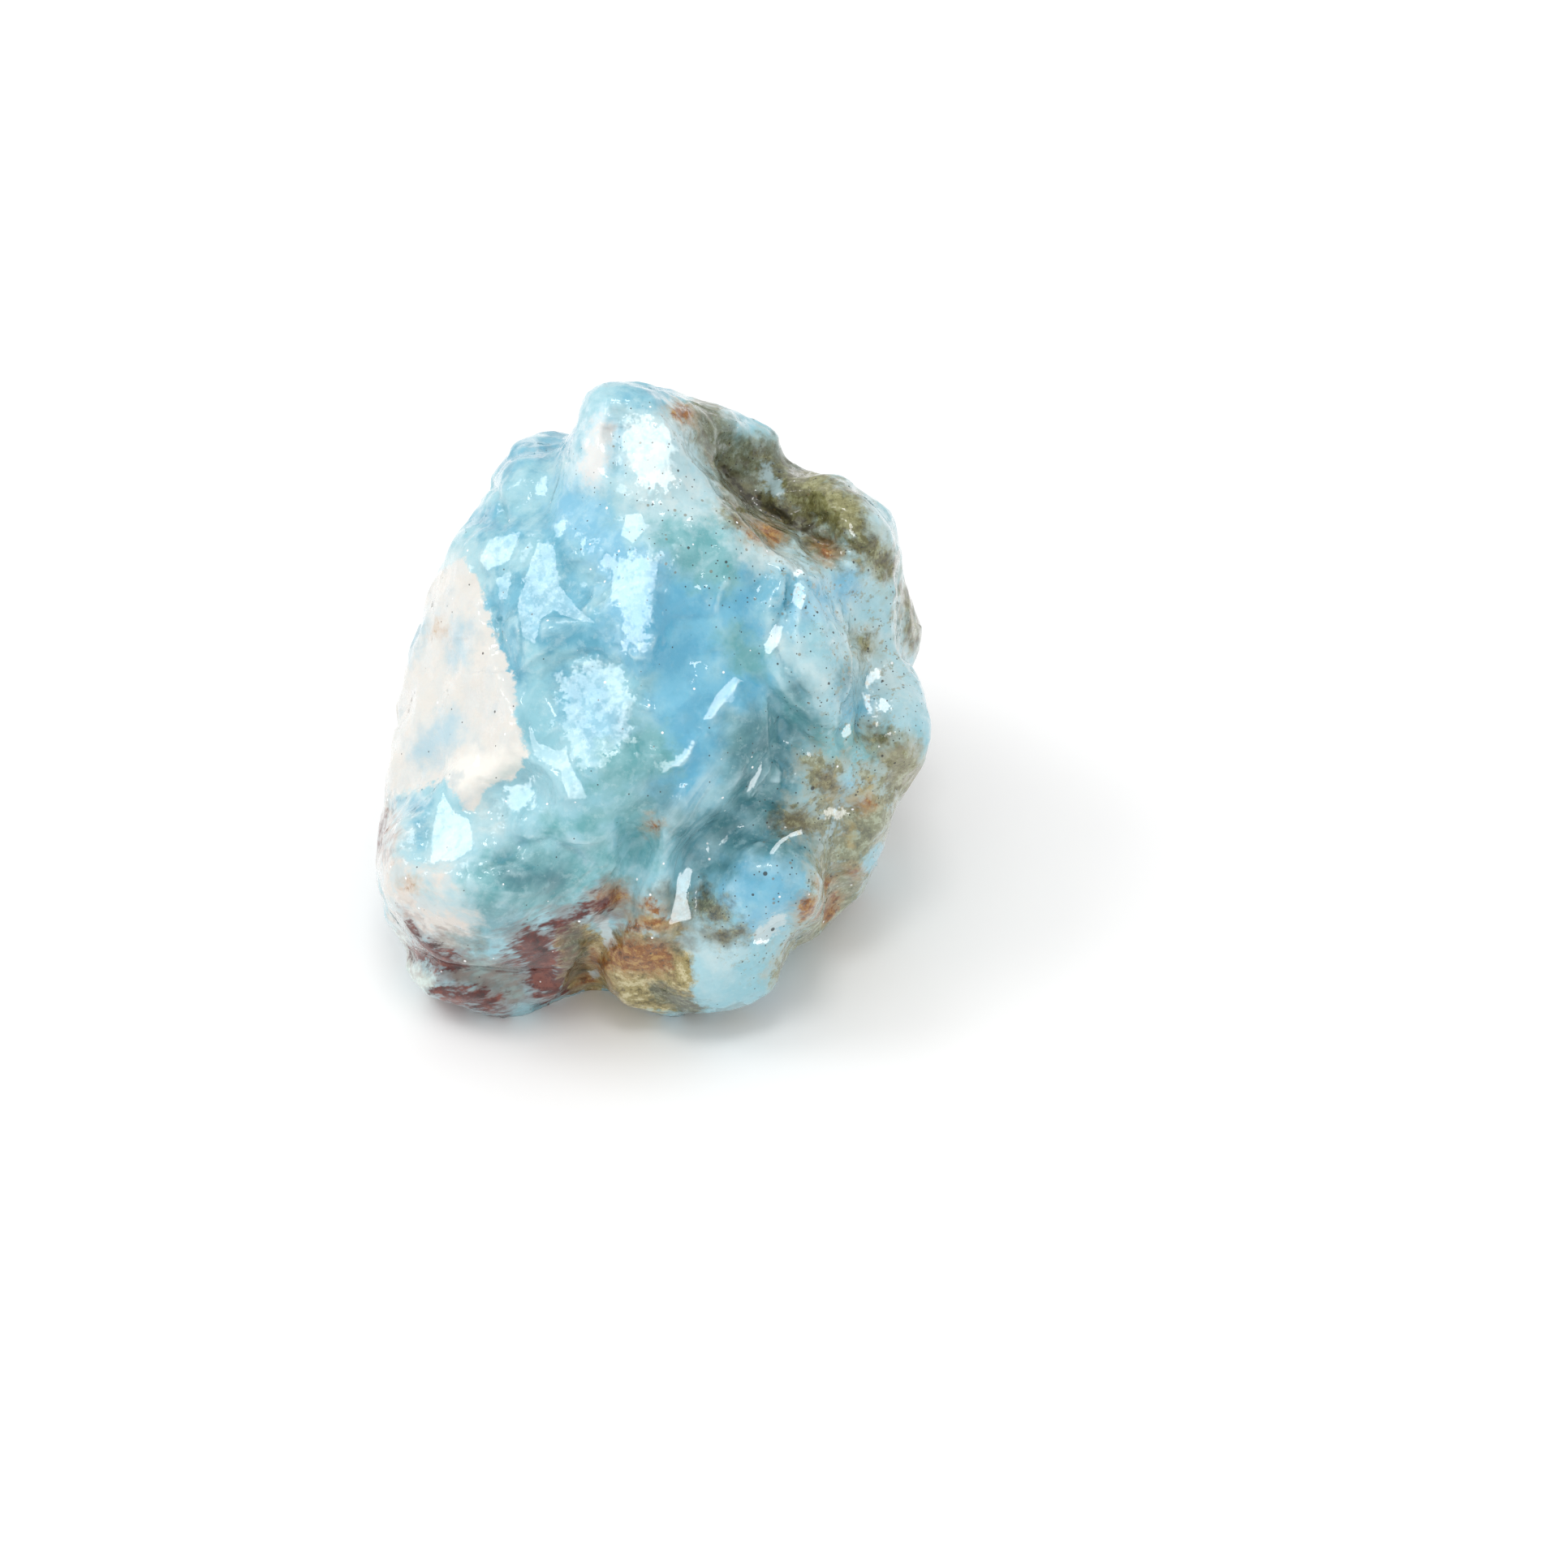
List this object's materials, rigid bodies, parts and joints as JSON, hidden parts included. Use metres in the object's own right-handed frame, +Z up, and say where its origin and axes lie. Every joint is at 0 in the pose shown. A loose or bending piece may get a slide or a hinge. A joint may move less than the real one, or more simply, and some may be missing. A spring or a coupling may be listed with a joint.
{
  "type": "raw larimar",
  "caption": "Rough lump of blue pectolite with pale crust and rusty host rock, resting on a broken flat.",
  "frame": {"origin": "on the table under the middle of the stone, on the broken flat that it rests on", "axes": "+Z up, away from the table; the showy blue face looks up and towards -Y; +X to that face's right"},
  "size_m": [0.0356, 0.0385, 0.037],
  "materials": {
    "larimar": "natural break, wet gloss"
  },
  "bodies": {
    "root": {"larimar": "larimar"}
  },
  "joints": []
}
